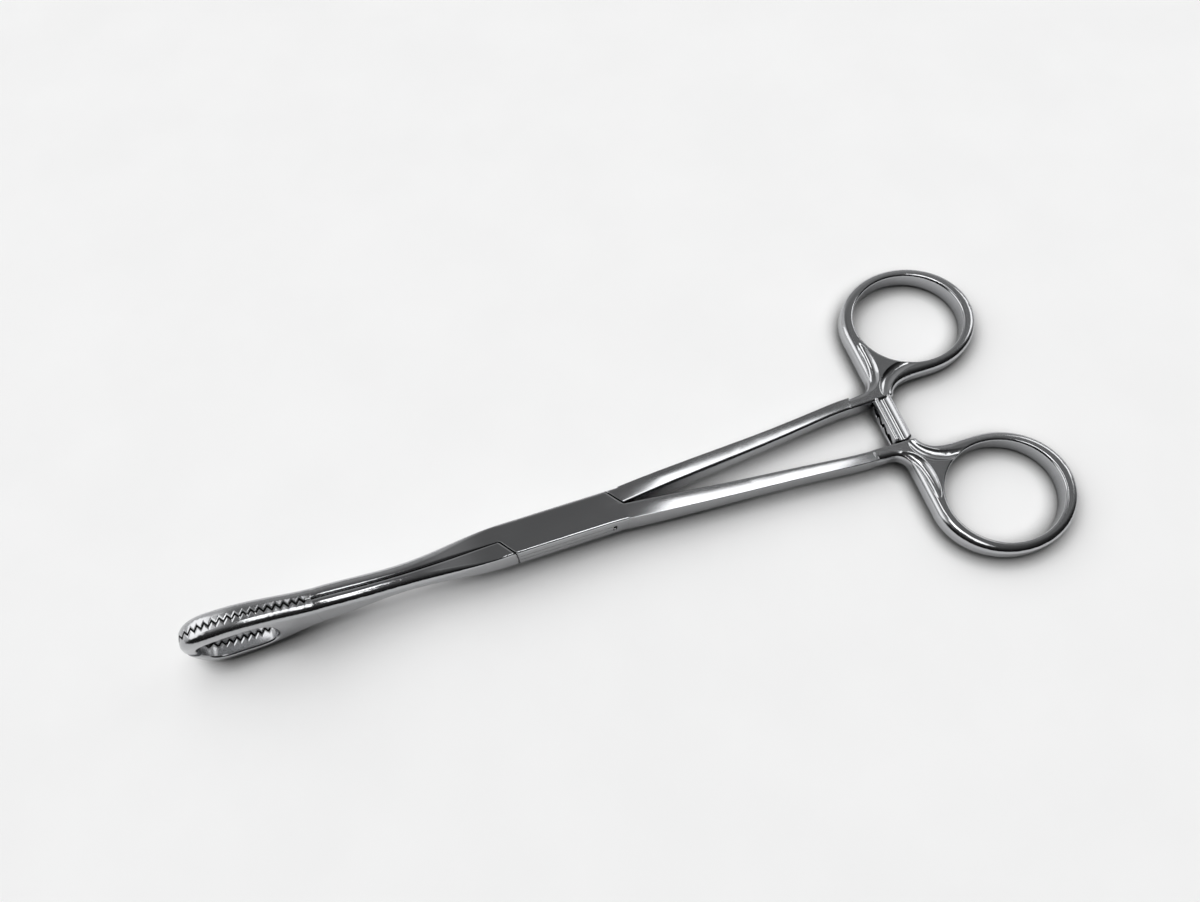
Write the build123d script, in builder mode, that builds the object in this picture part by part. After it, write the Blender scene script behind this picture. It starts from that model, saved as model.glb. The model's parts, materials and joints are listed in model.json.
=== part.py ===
"""Ring-handled locking forceps with slotted oval jaws.

Two forged halves cross in a box lock. Each half is a jaw arm, a shank and a
finger ring in one piece. X runs from the pivot to the finger rings, Y across
the pair, Z up through the thickness. The jaws are shut and the pair lies on
its lower side.
"""
import os
from math import atan2, degrees, radians, sin, cos

from build123d import *

# Box lock
box_length = 26.0
box_width = 7.2
box_thickness = 6.0
shoulder_run = 2.7
slot_height = 2.0
slot_length = 19.6
running_gap = 0.05
shoulder_gap = 0.08
pin_diameter = 3.0
pin_clearance = 0.04

# Jaws: two oval rings that meet on their serrated faces
jaw_reach = 75.8
jaw_height = 16.0
jaw_length = 25.8
widest_to_tip = 9.8
jaw_half_thickness = 2.75
tip_half_thickness = 1.5
nose_slope = 0.6
jaw_bar_depth = 2.9
window_to_tip = 17.5
jaw_arm_height = 8.9
jaw_arm_half_width = 2.55
tip_slot_width = 1.6
tooth_pitch = 1.4
tooth_depth = 0.9
plain_before_teeth = 1.3
tooth_gap = 0.35
jaw_gap = 0.06
jaw_edge_radius = 1.6
groove_radius = 0.5
window_edge_radius = 0.45

# Slimmest place between the box and the jaws
waist_at = 30.0
waist_height = 4.8

# Rear shanks
shank_end = 66.0
shank_end_inner = 5.05
shank_end_width = 2.6
shank_mid_thickness = 3.9
shank_thickness = 4.2

# Finger rings
ring_centre_x = 87.8
ring_centre_y = 21.8
ring_hole_length = 24.8
ring_hole_width = 22.2
ring_wall_ends = 2.9
ring_wall_sides = 2.1
ring_outer_radius = 1.25
ring_hole_radius = 0.5
crotch_radius = 0.5
flute_radius = 1.7
flute_depth = 0.55
root_radius = 3.0
web_corner_run = 8.0
web_corner_lean = 0.4

# Ratchet bars between the shanks
ratchet_at = 71.5
ratchet_width = 3.9
ratchet_reach = 4.9
ratchet_pitch = 2.5
ratchet_tooth = 0.8
ratchet_gap = 0.12
ratchet_flute = 0.55

# Each forged section enters the next by this overlap and is this much smaller there
blend_overlap = 0.5
blend_step = 0.03

box_half = box_length / 2
half_width = box_width / 2
half_box = box_thickness / 2
jaw_arm_start = jaw_reach - jaw_length
jaw_widest_at = jaw_reach - widest_to_tip
window_start = jaw_reach - window_to_tip
toothed_length = jaw_length - plain_before_teeth
tooth_start = jaw_reach - toothed_length


def ease(t):
    """Smooth step from 0 to 1."""
    return t * t * (3 - 2 * t)


def across(x):
    """Plane square to the length at x: its x is Y and its y is Z."""
    return Plane(origin=(x, 0, 0), x_dir=(0, 1, 0), z_dir=(1, 0, 0))


def front_width(x):
    """Half width of a front arm at distance x before the pivot."""
    t = min(1, (x - box_half) / (waist_at + 4 - box_half))
    return half_width + (jaw_arm_half_width - blend_step - half_width) * ease(t)


def front_height(x):
    """Half height of a front arm at distance x before the pivot."""
    if x < waist_at:
        t = (x - box_half) / (waist_at - box_half)
        return half_box + (waist_height / 2 - half_box) * ease(t)
    t = min(1, (x - waist_at) / (jaw_arm_start - waist_at))
    return waist_height / 2 + ((jaw_arm_height - waist_height) / 2 - blend_step) * t ** 1.6


def tooth_line(side):
    """Serrated mating line of the half on the given side of the middle."""
    start = -tooth_start
    count = int((jaw_reach - tooth_start) / tooth_pitch * 2) + 3
    points = []
    for i in range(count):
        swing = tooth_depth / 2 if i % 2 else -tooth_depth / 2
        points.append((start - i * tooth_pitch / 2, side * tooth_gap / 2 + swing))
    return points


def jaw_arm(side):
    """Jaw half with its arm: side is 1 for the far half and -1 for the near."""
    stations = [box_half, box_half + 5, (box_half + waist_at) / 2 + 3, waist_at,
                (waist_at + jaw_arm_start) / 2, jaw_arm_start, jaw_arm_start + blend_overlap]
    with BuildPart() as arm:
        for i, x in enumerate(stations):
            wide = front_width(x) - jaw_gap / 2
            tall = front_height(x) * 2
            with BuildSketch(across(-x)) as section:
                with Locations((side * (jaw_gap / 2 + wide / 2), 0)):
                    Rectangle(wide, tall)
                mating = section.vertices().sort_by(Axis.X)[:2]
                outer = section.vertices().sort_by(Axis.X)[2:]
                if side < 0:
                    mating, outer = outer, mating
                round_off = 0.35 + (jaw_edge_radius + blend_step - 0.35) * ease(min(1, i / 3))
                fillet(outer, round_off)
                groove = 0.2 + (groove_radius - 0.2) * ease(min(1, i / 2))
                fillet(section.vertices().group_by(Axis.X)[0 if side > 0 else -1], groove)
        loft()
    with BuildPart() as head:
        flat = side * jaw_gap / 2
        across_middle = -side * jaw_half_thickness
        past_tip = -jaw_reach - tooth_pitch
        with BuildSketch(Plane.XY) as plan:
            with BuildLine():
                wide = side * jaw_half_thickness
                back = Spline((past_tip, side * (tip_half_thickness - 0.9)),
                              (-jaw_reach, side * tip_half_thickness), (-jaw_widest_at, wide),
                              (-jaw_arm_start, side * jaw_arm_half_width),
                              tangents=[(1, side * 0.9), (1, side * nose_slope), (1, 0), (1, 0)])
                Polyline(back @ 1, (-jaw_arm_start, across_middle), (past_tip, across_middle), back @ 0)
            make_face()
        extrude(amount=jaw_height, both=True)
        with BuildSketch(Plane.XZ) as profile:
            with BuildLine():
                top = Spline((-jaw_arm_start, jaw_arm_height / 2),
                             (-(jaw_arm_start + jaw_widest_at) / 2, jaw_height * 0.416),
                             (-jaw_widest_at, jaw_height / 2),
                             (-jaw_reach, 0),
                             tangents=[(-1, 0.17), (-1, 0.28), (-1, 0), (0, -1.25)])
                Line((-jaw_arm_start, 0), top @ 0)
                Line(top @ 1, (-jaw_arm_start, 0))
            make_face()
            mirror(about=Plane.XZ)
        extrude(amount=jaw_half_thickness * 2, both=True, mode=Mode.INTERSECT)
        rim = [e for e in head.edges() if e.length > 8 and abs(e.center().X + jaw_arm_start) > 1
               and e.center().Y * side > jaw_arm_half_width * 0.6]
        fillet(rim, jaw_edge_radius)
        with BuildSketch(Plane.XZ) as window:
            with BuildLine():
                inner = jaw_height / 2 - jaw_bar_depth
                hole = Spline((-window_start, 0), (-jaw_widest_at - 0.4, inner),
                              (-(jaw_reach - jaw_bar_depth + 0.2), 0),
                              tangents=[(0, 1), (-1, 0), (0, -1)])
                Line(hole @ 1, hole @ 0)
            make_face()
            mirror(about=Plane.XZ)
        extrude(amount=jaw_half_thickness * 2, both=True, mode=Mode.SUBTRACT)
        mouth = [e for e in head.edges() if e.center().Y * side > jaw_arm_half_width * 0.6
                 and abs(e.center().Z) < inner + 0.1 and e.center().X < -window_start and e.length > 8]
        fillet(mouth, window_edge_radius)
        with BuildSketch(Plane.XY) as mating:
            with BuildLine():
                teeth = tooth_line(side)
                Polyline((-jaw_arm_start + 1, across_middle * 2), (-jaw_arm_start + 1, flat),
                         (-tooth_start + tooth_pitch / 2, flat), *teeth,
                         (teeth[-1][0], across_middle * 2), close=True)
            make_face()
        extrude(amount=jaw_height, both=True, mode=Mode.SUBTRACT)
        with Locations((-jaw_reach, 0, 0)):
            Box(jaw_bar_depth * 2.4, jaw_half_thickness * 4, tip_slot_width, mode=Mode.SUBTRACT)
    with BuildPart() as joined:
        add(arm.part)
        add(head.part)
    return joined.part


def shank_line(x):
    """Inner edge, width and height of a rear shank at distance x behind the pivot."""
    t = min(1, (x - box_half) / (shank_end - box_half))
    inner = shoulder_gap * 0.75 + (shank_end_inner - shoulder_gap * 0.75) * t
    wide = half_width + (shank_end_width - half_width) * ease(t)
    if t < 0.62:
        tall = box_thickness + (shank_mid_thickness - box_thickness) * ease(t / 0.62)
    else:
        tall = shank_mid_thickness + (shank_thickness - shank_mid_thickness) * ease((t - 0.62) / 0.38)
    return inner, wide, tall


def web_flutes(side):
    """Scooped channels along both edges of the web, on its two faces, as cutters."""
    left = ring_centre_x - ring_hole_length / 2 - ring_wall_ends
    low = ring_centre_y - ring_hole_width / 2 - ring_wall_sides
    deep = shank_thickness / 2 + flute_radius - flute_depth
    out = shank_thickness / 2 + flute_radius + 0.1
    bar_end = ratchet_at + ratchet_width
    outer_edge = [(left - 3.2, low - 0.6, out), (left + 0.9, low + 1.4, deep),
                  (left + 2.0, low + 5.2, deep), (left + 1.6, ring_centre_y - 2, out)]
    inner_edge = [(bar_end - 1.3, low - 3.2, out), (bar_end + 0.5, low + 0.1, deep),
                  (bar_end + 3.6, low + 2.1, deep), (ring_centre_x - 1.5, low + 1.6, out)]
    cutters = []
    for route in (outer_edge, inner_edge):
        with BuildPart() as cutter:
            with BuildLine() as path:
                Spline(*[(x, side * y, z) for x, y, z in route])
            with BuildSketch(Plane(origin=path.line @ 0, z_dir=path.line % 0)):
                Circle(flute_radius)
            sweep()
            mirror(about=Plane.XY)
        cutters.append(cutter.part)
    return cutters


def handle_arm(side):
    """Rear shank, finger ring and the web between them, without the ratchet bar."""
    with BuildPart() as shank:
        run = shank_end - box_half
        for t in (0, 0.09, 0.25, 0.45, 0.7, 1, 1 + blend_overlap / run):
            inner, wide, tall = shank_line(box_half + t * run)
            trim = blend_step * ease(min(1, t))
            blend = ease(min(1, t * 3))
            with BuildSketch(across(box_half + t * run)) as section:
                with Locations((side * (inner + wide / 2), 0)):
                    Rectangle(wide - 2 * trim, tall - 2 * trim)
                sides = section.vertices().group_by(Axis.X)
                inner_pair, outer_pair = (sides[0], sides[-1]) if side > 0 else (sides[-1], sides[0])
                fillet(inner_pair, 0.35 + (crotch_radius - 0.35) * blend)
                fillet(outer_pair, 0.35 + (ring_outer_radius - blend_step - 0.35) * blend)
        loft()
    with BuildPart() as handle:
        left = ring_centre_x - ring_hole_length / 2 - ring_wall_ends
        low = side * (ring_centre_y - ring_hole_width / 2 - ring_wall_sides)
        inner, wide, tall = shank_line(shank_end)
        bar_end = ratchet_at + ratchet_width
        with BuildSketch(Plane.XY) as plan:
            with BuildLine():
                Polyline((shank_end, side * inner),
                         (shank_end, side * (inner + wide)),
                         (left, side * (inner + wide + 0.45)),
                         (left, side * ring_centre_y),
                         (ring_centre_x, side * ring_centre_y),
                         (ring_centre_x, low),
                         (bar_end + web_corner_run, low))
                Spline((bar_end + web_corner_run, low), (bar_end + 0.8, side * (inner + 0.25)),
                       tangents=[(-1, 0), (-web_corner_lean, -side)])
                Polyline((bar_end + 0.8, side * (inner + 0.25)), (shank_end, side * inner))
            make_face()
            with Locations((ring_centre_x, side * ring_centre_y)):
                Ellipse(ring_hole_length / 2 + ring_wall_ends, ring_hole_width / 2 + ring_wall_sides)
            neck = [v for v in plan.vertices() if abs(v.X - left) < 0.01 and abs(v.Y) < abs(low)]
            fillet(neck, root_radius)
            with Locations((ring_centre_x, side * ring_centre_y)):
                Ellipse(ring_hole_length / 2, ring_hole_width / 2, mode=Mode.SUBTRACT)
        extrude(amount=shank_thickness / 2, both=True)
        flats = handle.faces().filter_by(Axis.Z).edges()
        fillet([e for e in flats if e.is_closed], ring_hole_radius)
        flats = handle.faces().filter_by(Axis.Z).edges()
        rim = [e for e in flats if e.center().X > shank_end + 0.01 and abs(e.center().Y) > inner + 0.4
               and not e.is_closed]
        fillet(rim, ring_outer_radius)
        flats = handle.faces().filter_by(Axis.Z).edges()
        crotch = [e for e in flats if abs(abs(e.center().Y) - inner - 0.125) < 0.1 and e.length > 1]
        fillet(crotch, crotch_radius)
        for flute in web_flutes(side):
            add(flute, mode=Mode.SUBTRACT)
    with BuildPart() as joined:
        add(shank.part)
        add(handle.part)
    return joined.part


def ratchet_bar(side):
    """Toothed bar that reaches across from one shank: the far one lies on top."""
    root = side * (shank_end_inner + 0.8)
    free = -side * ratchet_reach
    face = side * shank_thickness / 2
    tip = side * ratchet_gap / 2
    valley = side * (ratchet_gap / 2 + ratchet_tooth)
    count = int(2 * ratchet_reach / ratchet_pitch)
    points = [(root, face), (free, face), (free, tip + side * 0.25)]
    for i in range(count):
        near = free + side * i * ratchet_pitch
        points.append((near + side * 0.3, tip))
        points.append((near + side * (ratchet_pitch - 0.7), valley))
        points.append((near + side * (ratchet_pitch - 0.1), valley))
    points.append((root, valley))
    with BuildPart() as bar:
        with BuildSketch(across(ratchet_at)):
            with BuildLine():
                Polyline(*points, close=True)
            make_face()
        extrude(amount=ratchet_width)
        ends = bar.edges().filter_by(Axis.X).filter_by(
            lambda e: abs(e.center().Y - free) < 0.01 and abs(e.center().Z - face) < 0.01)
        fillet(ends, 0.6)
        long_edges = bar.edges().filter_by(Axis.Y).filter_by(lambda e: abs(e.center().Z - face) < 0.01)
        fillet(long_edges, 0.5)
        flute_width = ratchet_width - 1.5
        flute_radius = flute_width ** 2 / 8 / ratchet_flute + ratchet_flute / 2
        groove = Plane(origin=(ratchet_at + ratchet_width / 2, 0, 0), x_dir=(1, 0, 0), z_dir=(0, 1, 0))
        with BuildSketch(groove):
            with Locations((0, -(face + side * (flute_radius - ratchet_flute)))):
                Circle(flute_radius)
        extrude(amount=ratchet_reach * 2, both=True, mode=Mode.SUBTRACT)
    return bar.part


def side_block(outline, height):
    """Prism of the box lock with its long outer edges rounded like the arms beside it."""
    with BuildPart() as block:
        with BuildSketch(Plane.XY):
            with BuildLine():
                Polyline(*outline, close=True)
            make_face()
        extrude(amount=height, both=True)
        rims = block.edges().filter_by(Axis.X).filter_by(
            lambda e: abs(abs(e.center().Y) - half_width) < 0.01)
        fillet(rims, 0.35)
    return block.part


crotch = shoulder_gap * 0.75
inset = box_half - shoulder_run

with BuildPart() as female_half:
    add(jaw_arm(1))
    add(handle_arm(-1))
    add(ratchet_bar(-1))
    add(side_block([(box_half, -crotch), (box_half - shoulder_gap, -crotch),
                    (inset - shoulder_gap, half_width), (-box_half, half_width),
                    (-box_half, crotch), (-box_half + shoulder_gap, crotch),
                    (-inset + shoulder_gap, -half_width), (box_half, -half_width)], half_box))
    reach = half_width + 1
    with BuildSketch(Plane.XY) as slot:
        with BuildLine():
            Polyline((slot_length / 2, -reach), (box_half, 0), (box_half, reach),
                     (-slot_length / 2, reach), (-box_half, 0), (-box_half, -reach), close=True)
        make_face()
    extrude(amount=slot_height / 2, both=True, mode=Mode.SUBTRACT)
    with Locations((0, 0, half_box)):
        Hole(pin_diameter / 2, depth=box_thickness)

with BuildPart() as male_half:
    add(jaw_arm(-1))
    add(handle_arm(1))
    add(ratchet_bar(1))
    for turn in (1, -1):
        add(side_block([(turn * box_half, turn * crotch), (turn * box_half, turn * half_width),
                        (turn * inset, turn * half_width)], half_box))
    edge = half_width
    end = slot_length / 2 - running_gap
    tongue = box_half - running_gap * 1.5
    with BuildSketch(Plane.XY) as waist:
        with BuildLine():
            Polyline((end - 0.55 * running_gap, -edge), (tongue, -crotch / 2), (box_half + 1, crotch + 0.05),
                     (box_half + 1, edge - 0.3), (inset, edge), (-end + 0.55 * running_gap, edge),
                     (-tongue, -jaw_gap / 2), (-box_half - 1, -crotch - 0.05),
                     (-box_half - 1, -edge + 0.8), (-inset, -edge), close=True)
        make_face()
    extrude(amount=slot_height / 2 - running_gap, both=True)
    with Locations((0, 0, half_box)):
        Hole(pin_diameter / 2 + pin_clearance, depth=box_thickness)

with BuildPart() as pivot_pin:
    Cylinder(pin_diameter / 2, box_thickness)

# At rest the jaws' lower rims and the far ends of the finger rings touch the table
touch_x = ring_centre_x + ring_hole_length / 2 + ring_wall_ends - ring_outer_radius
tilt = degrees(atan2((jaw_height - shank_thickness) / 2, touch_x + jaw_widest_at))
turned = Location((0, 0, 0), (0, tilt, 0))
boxes = [piece.part.moved(turned).bounding_box() for piece in (female_half, male_half)]
middle = (min(b.min.X for b in boxes) + max(b.max.X for b in boxes)) / 2
lowest = min(b.min.Z for b in boxes)
resting = Location((-middle, 0, -lowest), (0, tilt, 0))

os.makedirs("parts", exist_ok=True)
for piece, label in ((female_half, "female_half"), (male_half, "male_half"), (pivot_pin, "pivot_pin")):
    placed = piece.part.moved(resting)
    placed.label = label
    export_step(placed, f"parts/{label}.step")

print("pivot at", round(-middle, 4), 0, round(-lowest, 4))
print("axis", round(sin(radians(tilt)), 6), 0, round(cos(radians(tilt)), 6), "tilt", round(tilt, 3))
print("table contact: female", round(boxes[0].min.Z - lowest, 4), "male", round(boxes[1].min.Z - lowest, 4))
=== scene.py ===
"""Dresses a pair of ring-handled locking forceps that lies shut on a pale table.

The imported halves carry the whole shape, so this file gives them their polished
steel, sets the table under them and the studio light round them, and looks at
them from the photograph's angle.
"""
import json
import logging
import math
from dataclasses import dataclass, field
from enum import Enum
from typing import Any

import bpy
from mathutils import Matrix, Vector

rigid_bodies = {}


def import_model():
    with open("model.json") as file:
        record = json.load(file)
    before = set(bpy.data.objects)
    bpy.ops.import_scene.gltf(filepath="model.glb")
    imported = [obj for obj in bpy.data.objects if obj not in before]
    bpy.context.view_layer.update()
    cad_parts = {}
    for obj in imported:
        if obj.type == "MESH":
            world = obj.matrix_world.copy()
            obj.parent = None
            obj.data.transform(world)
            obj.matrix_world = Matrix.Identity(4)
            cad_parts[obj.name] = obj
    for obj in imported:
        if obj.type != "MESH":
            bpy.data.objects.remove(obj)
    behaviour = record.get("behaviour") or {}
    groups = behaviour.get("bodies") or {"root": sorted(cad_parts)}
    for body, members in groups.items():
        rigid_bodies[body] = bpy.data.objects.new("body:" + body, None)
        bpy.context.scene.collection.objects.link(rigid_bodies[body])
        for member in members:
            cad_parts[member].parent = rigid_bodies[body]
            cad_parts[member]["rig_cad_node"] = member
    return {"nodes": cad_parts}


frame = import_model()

LOG = logging.getLogger("forceps")
MM = 0.001

Tree = bpy.types.NodeTree
Socket = bpy.types.NodeSocket
Pair = tuple[float, float]
Triple = tuple[float, float, float]
Stops = tuple[tuple[float, str], ...]


def clear_defaults() -> None:
    """Removes the objects that a new file starts with."""
    for obj in list(bpy.data.objects):
        if obj.type in {"MESH", "LIGHT", "CAMERA"} and "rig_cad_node" not in obj:
            bpy.data.objects.remove(obj)


clear_defaults()
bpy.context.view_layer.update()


def linear(code: str) -> tuple[float, float, float, float]:
    """Turns an sRGB hex colour to linear.

    Args:
        code: six hex digits.

    Returns:
        Red, green, blue and a full alpha, linear.
    """
    channels = [int(code[i:i + 2], 16) / 255 for i in (0, 2, 4)]
    red, green, blue = [c / 12.92 if c <= 0.04045 else ((c + 0.055) / 1.055) ** 2.4 for c in channels]
    return red, green, blue, 1.0


def add_node(tree: Tree, kind: str, settings: dict[str, Any] | None = None,
             inputs: dict[str | int, Any] | None = None, stops: Stops = ()) -> bpy.types.Node:
    """Adds one node with its settings, the values it holds and its incoming links.

    Args:
        tree: the node tree that gets it.
        kind: the node's type name.
        settings: attributes of the node itself.
        inputs: input name or number to the socket that feeds it, or to its value.
        stops: position and colour of each stop, for a node with a colour ramp.

    Returns:
        The new node.
    """
    node = tree.nodes.new(kind)
    for name, value in (settings or {}).items():
        setattr(node, name, value)
    for name, source in (inputs or {}).items():
        if isinstance(source, Socket):
            tree.links.new(source, node.inputs[name])
        else:
            node.inputs[name].default_value = source
    if stops:
        elements = node.color_ramp.elements
        for _ in range(len(stops) - len(elements)):
            elements.new(0.5)
        for element, (position, code) in zip(elements, stops):
            element.position = position
            element.color = linear(code)
    return node


def run_mask(tree: Tree, x: Socket, run_mm: Pair, fades_mm: Pair) -> Socket:
    """Picks out a run of the length, with soft ends.

    Args:
        tree: the material's node tree.
        x: the distance along the length in metres.
        run_mm: where the run starts and stops.
        fades_mm: how long each end takes to fade in.

    Returns:
        1 in the run and 0 outside it.
    """
    (start, stop), (fade_in, fade_out) = run_mm, fades_mm
    ends = [add_node(tree, "ShaderNodeMapRange", {"interpolation_type": "SMOOTHSTEP"},
                     {"Value": x, "From Min": outer * MM, "From Max": inner * MM})
            for outer, inner in ((start, start + fade_in), (stop, stop - fade_out))]
    both = add_node(tree, "ShaderNodeMath", {"operation": "MULTIPLY"},
                    {0: ends[0].outputs["Result"], 1: ends[1].outputs["Result"]})
    return both.outputs["Value"]


def gap_bands(tree: Tree, away: Socket, kept: Socket, line_mm: Pair,
              break_mm: float) -> tuple[Socket, Socket]:
    """Turns the distance from a gap into its line of painted shade and its broken edges.

    Args:
        tree: the material's node tree.
        away: the distance from the middle of the gap in metres.
        kept: 1 where the gap is, 0 elsewhere.
        line_mm: where the painted shade line starts to fade and where it ends.
        break_mm: how far from the middle the edges are broken.

    Returns:
        1 in the painted shade line, and 1 falling to 0 over the broken edges.
    """
    bands = []
    for inner, outer in (line_mm, (0.0, break_mm)):
        band = add_node(tree, "ShaderNodeMapRange", {"interpolation_type": "SMOOTHSTEP"},
                        {"Value": away, "From Min": outer * MM, "From Max": inner * MM})
        shown = add_node(tree, "ShaderNodeMath", {"operation": "MULTIPLY"},
                         {0: band.outputs["Result"], 1: kept})
        bands.append(shown.outputs["Value"])
    return bands[0], bands[1]


class Polish(Enum):
    """How far a steel surface was polished: its middle roughness."""

    BRIGHT = 0.11
    SATIN = 0.18


@dataclass(frozen=True)
class BrokenEdges:
    """Sharp edges that the mop rounds over, except on the toothed ends of the jaws."""

    radius_mm: float = 0.32
    rivet_xy_mm: Pair = (-13.60, 0.0)
    rivet_clear_mm: float = 2.4
    jaw_starts_mm: float = -67.0
    jaw_fade_mm: float = 3.0

    def masks(self, tree: Tree, place: Socket) -> tuple[Socket, Socket]:
        """Finds how wide the edges were broken and where the jaws begin.

        Args:
            tree: the material's node tree.
            place: the object coordinates.

        Returns:
            The radius of the broken edge in metres, and 1 on the jaws' toothed ends.
        """
        x = add_node(tree, "ShaderNodeSeparateXYZ", inputs={"Vector": place}).outputs["X"]
        jaw = add_node(tree, "ShaderNodeMapRange", {"interpolation_type": "SMOOTHSTEP"},
                       {"Value": x, "From Min": (self.jaw_starts_mm + self.jaw_fade_mm) * MM,
                        "From Max": (self.jaw_starts_mm - self.jaw_fade_mm) * MM})
        flat = add_node(tree, "ShaderNodeVectorMath", {"operation": "MULTIPLY"},
                        {0: place, 1: (1.0, 1.0, 0.0)})
        rivet = (self.rivet_xy_mm[0] * MM, self.rivet_xy_mm[1] * MM, 0.0)
        away = add_node(tree, "ShaderNodeVectorMath", {"operation": "DISTANCE"},
                        {0: flat.outputs["Vector"], 1: rivet})
        # The rivet was ground flush with the box, so its rim has no broken edge
        off_rivet = add_node(tree, "ShaderNodeMath", {"operation": "GREATER_THAN"},
                             {0: away.outputs["Value"], 1: self.rivet_clear_mm * MM})
        off_jaw = add_node(tree, "ShaderNodeMapRange",
                           inputs={"Value": jaw.outputs["Result"], "To Min": self.radius_mm * MM,
                                   "To Max": 0.0})
        radius = add_node(tree, "ShaderNodeMath", {"operation": "MULTIPLY"},
                          {0: off_rivet.outputs["Value"], 1: off_jaw.outputs["Result"]})
        return radius.outputs["Value"], jaw.outputs["Result"]


@dataclass(frozen=True)
class BoxLockSeams:
    """The two slanted joints where one half passes through the other.

    Each is drawn as a line of painted shade with broken edges. They mirror
    each other through the rivet, so both are measured from the
    same line after a half turn.
    """

    rivet_x_mm: float = -13.60
    foot_mm: float = 12.96
    way: Pair = (0.8, 0.6)
    # Painted shade: where the dark line along each joint fades and ends
    line_mm: Pair = (0.06, 0.156)
    break_mm: float = 0.4
    overrun_mm: float = 0.05

    def marks(self, tree: Tree, place: Socket) -> tuple[Socket, Socket]:
        """Marks both joints.

        Args:
            tree: the material's node tree.
            place: the object coordinates.

        Returns:
            1 in the painted shade line of a joint, and 1 falling to 0 over its broken edges.
        """
        near = add_node(tree, "ShaderNodeVectorMath", {"operation": "SUBTRACT"},
                        {0: place, 1: (self.rivet_x_mm * MM, 0.0, 0.0)})
        axes = add_node(tree, "ShaderNodeSeparateXYZ", inputs={"Vector": near.outputs["Vector"]})
        end = add_node(tree, "ShaderNodeMath", {"operation": "SIGN"}, {0: axes.outputs["X"]})
        along = add_node(tree, "ShaderNodeMath", {"operation": "ABSOLUTE"}, {0: axes.outputs["X"]})
        across = add_node(tree, "ShaderNodeMath", {"operation": "MULTIPLY"},
                          {0: axes.outputs["Y"], 1: end.outputs["Value"]})
        from_foot = add_node(tree, "ShaderNodeMath", {"operation": "SUBTRACT"},
                             {0: along.outputs["Value"], 1: self.foot_mm * MM})
        first = add_node(tree, "ShaderNodeMath", {"operation": "MULTIPLY"},
                         {0: from_foot.outputs["Value"], 1: self.way[0]})
        off = add_node(tree, "ShaderNodeMath", {"operation": "MULTIPLY_ADD"},
                       {0: across.outputs["Value"], 1: self.way[1], 2: first.outputs["Value"]})
        away = add_node(tree, "ShaderNodeMath", {"operation": "ABSOLUTE"}, {0: off.outputs["Value"]})
        in_box = add_node(tree, "ShaderNodeMath", {"operation": "GREATER_THAN"},
                          {0: across.outputs["Value"], 1: -self.overrun_mm * MM})
        return gap_bands(tree, away.outputs["Value"], in_box.outputs["Value"], self.line_mm,
                         self.break_mm)


@dataclass(frozen=True)
class ToothGap:
    """The zigzag gap between the jaws, drawn as a line of painted shade.

    It is measured along the jaws from the rivet, because the forceps lies
    with its jaws a little lower than its box.
    """

    rivet_mm: Triple = (-13.654, 0.0, 5.688)
    jaw_way: Triple = (-0.999383, 0.0, 0.035129)
    start_mm: float = 51.3
    pitch_mm: float = 1.4
    depth_mm: float = 0.9
    # Painted shade: where the dark line between the teeth fades and ends
    line_mm: Pair = (0.231, 0.33)
    break_mm: float = 0.8
    overrun_mm: float = 0.3
    rim_turn: float = 0.5

    def marks(self, tree: Tree, place: Socket) -> tuple[Socket, Socket]:
        """Follows the zigzag over the rims of both jaws.

        Args:
            tree: the material's node tree.
            place: the object coordinates.

        Returns:
            1 in the painted shade line between the teeth, and 1 falling to 0 over their broken edges.
        """
        near = add_node(tree, "ShaderNodeVectorMath", {"operation": "SUBTRACT"},
                        {0: place, 1: [value * MM for value in self.rivet_mm]})
        along = add_node(tree, "ShaderNodeVectorMath", {"operation": "DOT_PRODUCT"},
                         {0: near.outputs["Vector"], 1: self.jaw_way})
        run = add_node(tree, "ShaderNodeMath", {"operation": "SUBTRACT"},
                       {0: along.outputs["Value"], 1: self.start_mm * MM})
        wave = add_node(tree, "ShaderNodeMath", {"operation": "PINGPONG"},
                        {0: run.outputs["Value"], 1: self.pitch_mm / 2 * MM})
        line = add_node(tree, "ShaderNodeMath", {"operation": "MULTIPLY_ADD"},
                        {0: wave.outputs["Value"], 1: 2 * self.depth_mm / self.pitch_mm,
                         2: -self.depth_mm / 2 * MM})
        y = add_node(tree, "ShaderNodeSeparateXYZ", inputs={"Vector": place}).outputs["Y"]
        off = add_node(tree, "ShaderNodeMath", {"operation": "SUBTRACT"},
                       {0: y, 1: line.outputs["Value"]})
        away = add_node(tree, "ShaderNodeMath", {"operation": "ABSOLUTE"}, {0: off.outputs["Value"]})
        toothed = add_node(tree, "ShaderNodeMath", {"operation": "GREATER_THAN"},
                           {0: run.outputs["Value"], 1: -self.overrun_mm * MM})
        # The painted shade stays off the flanks of the teeth: only the rim beside the gap is painted
        # dark
        facing = add_node(tree, "ShaderNodeTexCoord").outputs["Normal"]
        sideways = add_node(tree, "ShaderNodeSeparateXYZ", inputs={"Vector": facing}).outputs["Y"]
        turned = add_node(tree, "ShaderNodeMath", {"operation": "ABSOLUTE"}, {0: sideways})
        outside = add_node(tree, "ShaderNodeMath", {"operation": "LESS_THAN"},
                           {0: turned.outputs["Value"], 1: self.rim_turn})
        on_rim = add_node(tree, "ShaderNodeMath", {"operation": "MULTIPLY"},
                          {0: toothed.outputs["Value"], 1: outside.outputs["Value"]})
        return gap_bands(tree, away.outputs["Value"], on_rim.outputs["Value"], self.line_mm,
                         self.break_mm)


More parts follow.
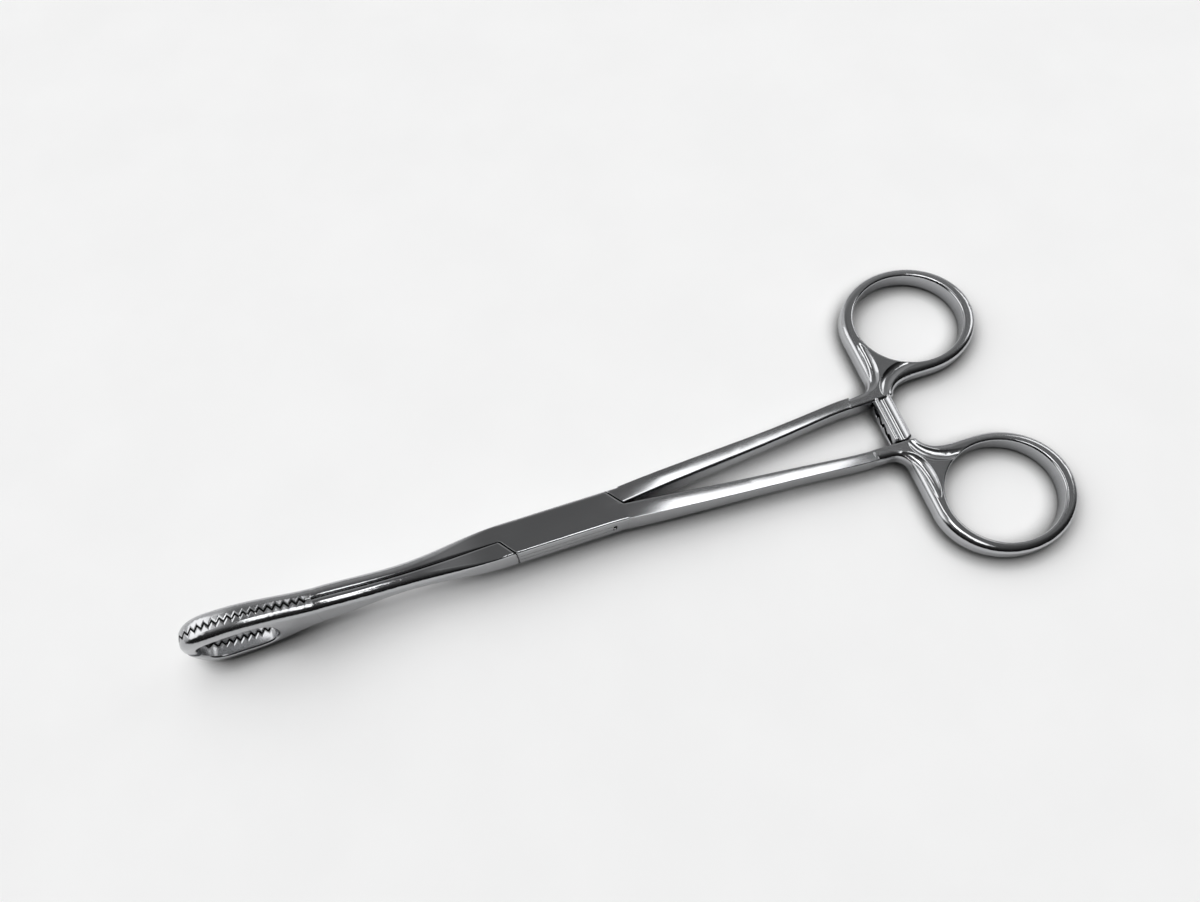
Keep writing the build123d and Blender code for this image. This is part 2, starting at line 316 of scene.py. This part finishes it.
@dataclass(frozen=True)
class ShankBelly:
    """The flats of the rear shanks, which the mop bellies across their width.

    The middle of each flat leans out from the centre line by the spread.
    """

    run_mm: Pair = (-5.0, 53.0)
    fades_mm: Pair = (9.0, 5.0)
    middle_mm: float = 2.13
    spread: float = 0.0806
    rise_mm: float = 0.05
    half_flat_mm: float = 1.6
    held_mm: float = 2.0

    def height(self, tree: Tree, place: Socket) -> Socket:
        """Bellies the flats.

        Args:
            tree: the material's node tree.
            place: the object coordinates.

        Returns:
            The height of the belly in metres.
        """
        axes = add_node(tree, "ShaderNodeSeparateXYZ", inputs={"Vector": place})
        middle = add_node(tree, "ShaderNodeMath", {"operation": "MULTIPLY_ADD"},
                          {0: axes.outputs["X"], 1: self.spread, 2: self.middle_mm * MM})
        across = add_node(tree, "ShaderNodeMath", {"operation": "ABSOLUTE"}, {0: axes.outputs["Y"]})
        off = add_node(tree, "ShaderNodeMath", {"operation": "SUBTRACT"},
                       {0: across.outputs["Value"], 1: middle.outputs["Value"]})
        held = add_node(tree, "ShaderNodeClamp",
                        inputs={"Value": off.outputs["Value"], "Min": -self.held_mm * MM,
                                "Max": self.held_mm * MM})
        square = add_node(tree, "ShaderNodeMath", {"operation": "MULTIPLY"},
                          {0: held.outputs["Result"], 1: held.outputs["Result"]})
        on_shank = run_mask(tree, axes.outputs["X"], self.run_mm, self.fades_mm)
        belly = add_node(tree, "ShaderNodeMath", {"operation": "MULTIPLY"},
                         {0: square.outputs["Value"], 1: on_shank})
        height = add_node(tree, "ShaderNodeMath", {"operation": "MULTIPLY"},
                          {0: belly.outputs["Value"], 1: -self.rise_mm / self.half_flat_mm ** 2 / MM})
        return height.outputs["Value"]


@dataclass(frozen=True)
class RolledBox:
    """The flats of the box, which the mop rolls down towards their long edges."""

    from_mm: float = 2.8
    width_mm: float = 0.8
    drop_mm: float = 0.22
    power: float = 3.0
    run_mm: Pair = (-28.0, 0.0)
    fades_mm: Pair = (4.0, 5.0)

    def height(self, tree: Tree, place: Socket) -> Socket:
        """Rolls the flats down.

        Args:
            tree: the material's node tree.
            place: the object coordinates.

        Returns:
            The height of the rolled flat in metres.
        """
        axes = add_node(tree, "ShaderNodeSeparateXYZ", inputs={"Vector": place})
        across = add_node(tree, "ShaderNodeMath", {"operation": "ABSOLUTE"}, {0: axes.outputs["Y"]})
        past = add_node(tree, "ShaderNodeMapRange",
                        inputs={"Value": across.outputs["Value"], "From Min": self.from_mm * MM,
                                "From Max": (self.from_mm + self.width_mm) * MM})
        curve = add_node(tree, "ShaderNodeMath", {"operation": "POWER"},
                         {0: past.outputs["Result"], 1: self.power})
        on_box = run_mask(tree, axes.outputs["X"], self.run_mm, self.fades_mm)
        rolled = add_node(tree, "ShaderNodeMath", {"operation": "MULTIPLY"},
                          {0: curve.outputs["Value"], 1: on_box})
        height = add_node(tree, "ShaderNodeMath", {"operation": "MULTIPLY"},
                          {0: rolled.outputs["Value"], 1: -self.drop_mm * MM})
        return height.outputs["Value"]


@dataclass(frozen=True)
class ArmSwell:
    """The front arms, which swell towards the jaws and run into them without a crease."""

    run_mm: Pair = (-53.0, -65.0)
    rise_mm: float = 0.42

    def height(self, tree: Tree, place: Socket) -> Socket:
        """Swells the arms.

        Args:
            tree: the material's node tree.
            place: the object coordinates.

        Returns:
            The height of the swelling in metres.
        """
        x = add_node(tree, "ShaderNodeSeparateXYZ", inputs={"Vector": place}).outputs["X"]
        run = add_node(tree, "ShaderNodeMapRange",
                       inputs={"Value": x, "From Min": self.run_mm[0] * MM,
                               "From Max": self.run_mm[1] * MM})
        square = add_node(tree, "ShaderNodeMath", {"operation": "MULTIPLY"},
                          {0: run.outputs["Result"], 1: run.outputs["Result"]})
        height = add_node(tree, "ShaderNodeMath", {"operation": "MULTIPLY"},
                          {0: square.outputs["Value"], 1: self.rise_mm * MM})
        return height.outputs["Value"]


@dataclass(frozen=True)
class PolishedStainless:
    """Martensitic stainless steel, forged, ground and mop-polished.

    The mop leaves a bright face with a soft edge to each reflection, faint
    lines along the length and a slow ripple from hand finishing. The jaws'
    toothed ends stay satin. Shade is painted into the colour, darker in the
    crevices and in the gaps between the halves and between the teeth.
    """

    name: str = "polished_stainless_steel"
    colour: str = "b4b5b7"
    # Painted shade: this near-black colour darkens the crevices and the gap lines
    painted_shade_colour: str = "0c0c0c"
    polish: Polish = Polish.BRIGHT
    jaw_finish: Polish = Polish.SATIN
    # A real mop's lines are under 0.1 mm apart. These are drawn coarser so that they show
    line_spacing_mm: float = 0.5
    line_stretch: float = 0.06
    line_height_mm: float = 0.001
    line_roughness: float = 0.03
    ripple_mm: float = 9.0
    ripple_height_mm: float = 0.02
    ripple_span: Pair = (0.3, 0.7)
    ripple_smudge: Pair = (0.85, 1.2)
    edge_samples: int = 16
    gap_break_mm: float = 0.1
    # Painted shade: occlusion within this reach darkens the colour over this span
    painted_shade_reach_mm: float = 0.9
    painted_shade_span: Pair = (0.3, 0.6)
    painted_shade_samples: int = 8
    edges: BrokenEdges = BrokenEdges()
    seams: BoxLockSeams = BoxLockSeams()
    tooth_gap: ToothGap = ToothGap()
    worn_flats: tuple[ShankBelly, RolledBox, ArmSwell] = (ShankBelly(), RolledBox(), ArmSwell())

    def roughness(self, tree: Tree, lines: Socket, ripple: Socket, on_jaw: Socket) -> Socket:
        """Works out how soft the reflections are.

        Args:
            tree: the material's node tree.
            lines: the mop's lines.
            ripple: the slow ripple.
            on_jaw: 1 on the jaws' toothed ends.

        Returns:
            The roughness.
        """
        finish = add_node(tree, "ShaderNodeMapRange",
                          inputs={"Value": on_jaw, "To Min": self.polish.value,
                                  "To Max": self.jaw_finish.value})
        smudge = add_node(tree, "ShaderNodeMapRange",
                          inputs={"Value": ripple, "From Min": self.ripple_span[0],
                                  "From Max": self.ripple_span[1], "To Min": self.ripple_smudge[0],
                                  "To Max": self.ripple_smudge[1]})
        base = add_node(tree, "ShaderNodeMath", {"operation": "MULTIPLY"},
                        {0: finish.outputs["Result"], 1: smudge.outputs["Result"]})
        grain = add_node(tree, "ShaderNodeMath", {"operation": "MULTIPLY_ADD"},
                         {0: lines, 1: self.line_roughness, 2: base.outputs["Value"]})
        return grain.outputs["Value"]

    def relief(self, tree: Tree, place: Socket, edge_radius: Socket, by_gap: Socket, lines: Socket,
               ripple: Socket) -> Socket:
        """Lays the broken edges, the worn flats, the ripple and the lines over each other.

        Args:
            tree: the material's node tree.
            place: the object coordinates.
            edge_radius: the radius of the broken edges in metres.
            by_gap: 1 falling to 0 over the broken edges of the gaps.
            lines: the mop's lines.
            ripple: the slow ripple.

        Returns:
            The normal.
        """
        edge = add_node(tree, "ShaderNodeBevel", {"samples": self.edge_samples},
                        {"Radius": edge_radius})
        broken = add_node(tree, "ShaderNodeBump", {"invert": True},
                          {"Height": by_gap, "Normal": edge.outputs["Normal"], "Strength": 1.0,
                           "Distance": self.gap_break_mm * MM})
        worn = self.worn_flats[0].height(tree, place)
        for flat in self.worn_flats[1:]:
            worn = add_node(tree, "ShaderNodeMath", {"operation": "ADD"},
                            {0: worn, 1: flat.height(tree, place)}).outputs["Value"]
        # The worn heights are in metres, so they need no further scale
        form = add_node(tree, "ShaderNodeBump",
                        inputs={"Height": worn, "Normal": broken.outputs["Normal"], "Strength": 1.0,
                                "Distance": 1.0})
        wave = add_node(tree, "ShaderNodeBump",
                        inputs={"Height": ripple, "Normal": form.outputs["Normal"], "Strength": 1.0,
                                "Distance": self.ripple_height_mm * MM})
        scratch = add_node(tree, "ShaderNodeBump",
                           inputs={"Height": lines, "Normal": wave.outputs["Normal"],
                                   "Strength": 1.0, "Distance": self.line_height_mm * MM})
        return scratch.outputs["Normal"]

    def shade(self, tree: Tree, in_gap: Socket) -> Socket:
        """Paints shade into the colour: darkens the crevices and the gaps between the halves.

        Args:
            tree: the material's node tree.
            in_gap: 1 in the painted shade line of a gap.

        Returns:
            The colour.
        """
        # Painted shade: the colour darkens where occlusion finds nearby surfaces
        crevice = add_node(tree, "ShaderNodeAmbientOcclusion", {"samples": self.painted_shade_samples},
                           {"Distance": self.painted_shade_reach_mm * MM})
        metal = add_node(tree, "ShaderNodeValToRGB", inputs={"Fac": crevice.outputs["AO"]},
                         stops=((self.painted_shade_span[0], self.painted_shade_colour),
                                (self.painted_shade_span[1], self.colour)))
        # Painted shade: the gap lines take the near-black colour
        lined = add_node(tree, "ShaderNodeMix", {"data_type": "RGBA"},
                         {0: in_gap, 6: metal.outputs["Color"], 7: linear(self.painted_shade_colour)})
        return lined.outputs[2]

    def material(self) -> bpy.types.Material:
        """Builds the node material.

        Returns:
            The steel, ready for every piece of the forceps.
        """
        steel = bpy.data.materials.new(self.name)
        steel.use_nodes = True
        tree = steel.node_tree
        tree.nodes.clear()
        place = add_node(tree, "ShaderNodeTexCoord").outputs["Object"]
        edge_radius, on_jaw = self.edges.masks(tree, place)
        # The mop's lines run along the length, so their pattern is stretched in X
        along = add_node(tree, "ShaderNodeMapping",
                         inputs={"Vector": place, "Scale": (self.line_stretch, 1.0, 1.0)})
        lines = add_node(tree, "ShaderNodeTexNoise",
                         inputs={"Vector": along.outputs["Vector"], "Detail": 3.0, "Roughness": 0.6,
                                 "Scale": 1 / (self.line_spacing_mm * MM)}).outputs["Fac"]
        ripple = add_node(tree, "ShaderNodeTexNoise",
                          inputs={"Vector": place, "Detail": 1.0, "Roughness": 0.4,
                                  "Scale": 1 / (self.ripple_mm * MM)}).outputs["Fac"]
        # The seams and the tooth gap share one line of painted shade and one kind of broken edge
        in_gap, by_gap = (add_node(tree, "ShaderNodeMath", {"operation": "MAXIMUM"},
                                   {0: seam, 1: teeth}).outputs["Value"]
                          for seam, teeth in zip(self.seams.marks(tree, place),
                                                 self.tooth_gap.marks(tree, place)))
        shader = add_node(tree, "ShaderNodeBsdfPrincipled",
                          inputs={"Base Color": self.shade(tree, in_gap), "Metallic": 1.0,
                                  "Roughness": self.roughness(tree, lines, ripple, on_jaw),
                                  "Normal": self.relief(tree, place, edge_radius, by_gap, lines,
                                                        ripple)})
        add_node(tree, "ShaderNodeOutputMaterial", inputs={"Surface": shader.outputs["BSDF"]})
        return steel


@dataclass(frozen=True)
class PaintedTable:
    """Matt white painted board: plain and pale, with a barely seen mottle and a painted contact
    shadow.
    """

    name: str = "matt_white_table"
    mottle: Stops = ((0.35, "f4f4f4"), (0.65, "f6f6f6"))
    mottle_mm: float = 25.0
    # Painted shadow: how far the occlusion reaches, its span and how dark the colour gets
    contact_shadow_reach_mm: float = 4.5
    contact_shadow_span: Pair = (0.4, 0.9)
    contact_shadow_darkest: float = 0.2
    contact_shadow_samples: int = 8
    roughness: float = 0.9
    specular: float = 0.1

    def material(self) -> bpy.types.Material:
        """Builds the node material.

        Returns:
            The paint, ready for the table top.
        """
        board = bpy.data.materials.new(self.name)
        board.use_nodes = True
        tree = board.node_tree
        tree.nodes.clear()
        place = add_node(tree, "ShaderNodeTexCoord").outputs["Object"]
        blotches = add_node(tree, "ShaderNodeTexNoise",
                            inputs={"Vector": place, "Detail": 3.0,
                                    "Scale": 1 / (self.mottle_mm * MM)})
        colour = add_node(tree, "ShaderNodeValToRGB", inputs={"Fac": blotches.outputs["Fac"]},
                          stops=self.mottle)
        # Painted shadow: the paint's colour is darkened right beside and under the metal, where
        # hardly any light gets in
        contact_shadow_occlusion = add_node(tree, "ShaderNodeAmbientOcclusion", {"samples": self.contact_shadow_samples},
                            {"Distance": self.contact_shadow_reach_mm * MM})
        lit = add_node(tree, "ShaderNodeMapRange",
                       inputs={"Value": contact_shadow_occlusion.outputs["AO"], "From Min": self.contact_shadow_span[0],
                               "From Max": self.contact_shadow_span[1], "To Min": self.contact_shadow_darkest,
                               "To Max": 1.0})
        paint = add_node(tree, "ShaderNodeVectorMath", {"operation": "SCALE"},
                         {0: colour.outputs["Color"], "Scale": lit.outputs["Result"]})
        shader = add_node(tree, "ShaderNodeBsdfPrincipled",
                          inputs={"Base Color": paint.outputs["Vector"], "Roughness": self.roughness,
                                  "Specular IOR Level": self.specular})
        add_node(tree, "ShaderNodeOutputMaterial", inputs={"Surface": shader.outputs["BSDF"]})
        return board


@dataclass
class Forceps:
    """The two forged halves and the rivet that joins them."""

    steel: PolishedStainless = field(default_factory=PolishedStainless)
    node_names: tuple[str, ...] = ("female_half", "male_half", "pivot_pin")

    def dress(self) -> None:
        """Gives every node its polished steel."""
        material = self.steel.material()
        for name in self.node_names:
            for slot in frame["nodes"][name].material_slots:
                slot.material = material
            LOG.info("%s dressed as %s", name, material.name)


@dataclass
class Table:
    """The flat table top, which lies a hair under the lowest point of the forceps."""

    half_size: float = 3.0
    drop: float = 0.00002
    finish: PaintedTable = field(default_factory=PaintedTable)

    def build(self) -> None:
        """Adds the table top."""
        bpy.ops.object.select_all(action="DESELECT")
        bpy.ops.mesh.primitive_plane_add(size=2 * self.half_size, location=(0, 0, -self.drop))
        top = bpy.context.active_object
        top.name = "table_top"
        bpy.ops.object.transform_apply(location=True, rotation=True, scale=True)
        top.data.materials.append(self.finish.material())
        LOG.info("table top built")


@dataclass(frozen=True)
class Softbox:
    """One flat lamp: where it hangs, its size, its radiance and what it faces.

    Without a target it hangs level, turned about the vertical.
    """

    name: str
    place: Triple
    size: Pair
    radiance: float
    target: Triple | None = (0.0, 0.0, 0.0)
    turn_deg: float = 0.0

    def build(self) -> None:
        """Adds the lamp with the power that gives it the radiance."""
        lamp = bpy.data.lights.new(self.name, "AREA")
        lamp.shape = "RECTANGLE"
        lamp.size, lamp.size_y = self.size
        lamp.energy = self.radiance * math.pi * self.size[0] * self.size[1]
        obj = bpy.data.objects.new(self.name, lamp)
        bpy.context.scene.collection.objects.link(obj)
        obj.location = self.place
        if self.target is None:
            obj.rotation_euler = (0.0, 0.0, math.radians(self.turn_deg))
        else:
            aim = Vector(self.target) - Vector(self.place)
            obj.rotation_euler = aim.to_track_quat("-Z", "Y").to_euler()
        LOG.info("%s lamp built", self.name)


@dataclass
class Studio:
    """Four soft boxes in a room that is pale behind the table and dark in front of it.

    The overhead box whitens the rear shanks, the left one the nose of the
    jaws, the right one the rims of the rings and the strip the edge of the
    box lock.
    """

    boxes: tuple[Softbox, ...] = (
        Softbox("overhead", (0.231, -0.017, 0.80), (0.16, 0.68), 2.8, None, -18.7),
        Softbox("left", (-0.65, 0.30, 0.60), (0.8, 0.6), 1.2),
        Softbox("right", (0.75, 0.25, 0.50), (0.35, 0.30), 1.7),
        Softbox("strip", (0.09, -0.02, 0.80), (0.14, 0.12), 5.0, None),
    )
    ambient: float = 0.06
    sky: float = 1.9
    sky_way: Triple = (-0.15, 0.52, 0.84)
    sky_span: Pair = (0.62, 0.92)
    backdrop: float = 0.90
    side_span: Pair = (-0.25, 0.25)
    left_wall: str = "e4e4e4"
    left_span: Pair = (-0.05, -0.32)
    far_side: Stops = ((0.0, "acacac"), (0.5, "acacac"), (0.80, "828282"), (0.90, "707070"),
                       (1.0, "6a6a6a"))
    near_side: Stops = ((0.0, "404040"), (0.12, "262626"), (0.35, "1a1a1a"), (0.6, "2a2a2a"),
                        (0.8, "464646"), (1.0, "666666"))

    def room(self, tree: Tree, way: Socket) -> Socket:
        """Paints the room that the metal mirrors.

        Args:
            tree: the world's node tree.
            way: the direction looked in.

        Returns:
            The room's colour in that direction.
        """
        axes = add_node(tree, "ShaderNodeSeparateXYZ", inputs={"Vector": way})
        side, left = (add_node(tree, "ShaderNodeMapRange", {"interpolation_type": "SMOOTHSTEP"},
                               {"Value": axes.outputs[axis], "From Min": start, "From Max": stop})
                      for axis, (start, stop) in (("Y", self.side_span), ("X", self.left_span)))
        far_wall, near_wall = (add_node(tree, "ShaderNodeValToRGB", inputs={"Fac": axes.outputs["Z"]},
                                        stops=shades).outputs["Color"]
                               for shades in (self.far_side, self.near_side))
        far = add_node(tree, "ShaderNodeMix", {"data_type": "RGBA"},
                       {0: left.outputs["Result"], 6: far_wall, 7: linear(self.left_wall)})
        room = add_node(tree, "ShaderNodeMix", {"data_type": "RGBA"},
                        {0: side.outputs["Result"], 6: near_wall, 7: far.outputs[2]})
        return room.outputs[2]

    def diffuser(self, tree: Tree, way: Socket) -> Socket:
        """Lights matt surfaces from a large diffuser high behind the table.

        Args:
            tree: the world's node tree.
            way: the direction looked in.

        Returns:
            The strength of the light from that direction.
        """
        facing = add_node(tree, "ShaderNodeVectorMath", {"operation": "DOT_PRODUCT"},
                          {0: way, 1: Vector(self.sky_way).normalized()})
        glow = add_node(tree, "ShaderNodeMapRange", {"interpolation_type": "SMOOTHSTEP"},
                        {"Value": facing.outputs["Value"], "From Min": self.sky_span[0],
                         "From Max": self.sky_span[1], "To Min": self.ambient, "To Max": self.sky})
        return glow.outputs["Result"]

    def build(self) -> None:
        """Adds the lamps and the room round them."""
        for box in self.boxes:
            box.build()
        world = bpy.data.worlds.new("studio_room")
        bpy.context.scene.world = world
        world.use_nodes = True
        tree = world.node_tree
        tree.nodes.clear()
        white = (1.0, 1.0, 1.0, 1.0)
        way = add_node(tree, "ShaderNodeTexCoord").outputs["Generated"]
        path = add_node(tree, "ShaderNodeLightPath")
        mirrored = add_node(tree, "ShaderNodeBackground",
                            inputs={"Color": self.room(tree, way), "Strength": 1.0})
        bounce = add_node(tree, "ShaderNodeBackground",
                          inputs={"Color": white, "Strength": self.diffuser(tree, way)})
        backdrop = add_node(tree, "ShaderNodeBackground",
                            inputs={"Color": white, "Strength": self.backdrop})
        lit = add_node(tree, "ShaderNodeMixShader",
                       inputs={0: path.outputs["Is Diffuse Ray"], 1: mirrored.outputs["Background"],
                               2: bounce.outputs["Background"]})
        shown = add_node(tree, "ShaderNodeMixShader",
                         inputs={0: path.outputs["Is Camera Ray"], 1: lit.outputs["Shader"],
                                 2: backdrop.outputs["Background"]})
        add_node(tree, "ShaderNodeOutputWorld", inputs={"Surface": shown.outputs["Shader"]})
        LOG.info("studio built")


@dataclass
class PhotoCamera:
    """The camera at the photograph's place, for a picture of 1200 by 902."""

    place: Triple = (-0.02078, -0.0633, 0.18165)
    target: Triple = (-0.00096, 0.01365, 0.00524)
    right: Triple = (0.9468, -0.3201, -0.0333)
    focal_px: float = 923.0
    picture_width_px: float = 1200.0
    sensor_mm: float = 36.0
    clip: Pair = (0.01, 20.0)

    def build(self) -> None:
        """Adds the camera and makes it the scene's."""
        data = bpy.data.cameras.new("photo_camera")
        data.sensor_fit = "HORIZONTAL"
        data.sensor_width = self.sensor_mm
        data.lens = self.focal_px / self.picture_width_px * self.sensor_mm
        data.clip_start, data.clip_end = self.clip
        obj = bpy.data.objects.new("photo_camera", data)
        bpy.context.scene.collection.objects.link(obj)
        back = (Vector(self.place) - Vector(self.target)).normalized()
        side = Vector(self.right)
        side = (side - back * side.dot(back)).normalized()
        turn = Matrix((side, back.cross(side), back)).transposed()
        obj.matrix_world = Matrix.Translation(self.place) @ turn.to_4x4()
        bpy.context.scene.camera = obj
        LOG.info("camera built")


def main() -> None:
    """Builds the pieces in order."""
    logging.basicConfig(level=logging.INFO, format="%(name)s: %(message)s")
    Forceps().dress()
    Table().build()
    Studio().build()
    PhotoCamera().build()
    bpy.context.scene.view_settings.view_transform = "Standard"


if __name__ == "__main__":
    main()
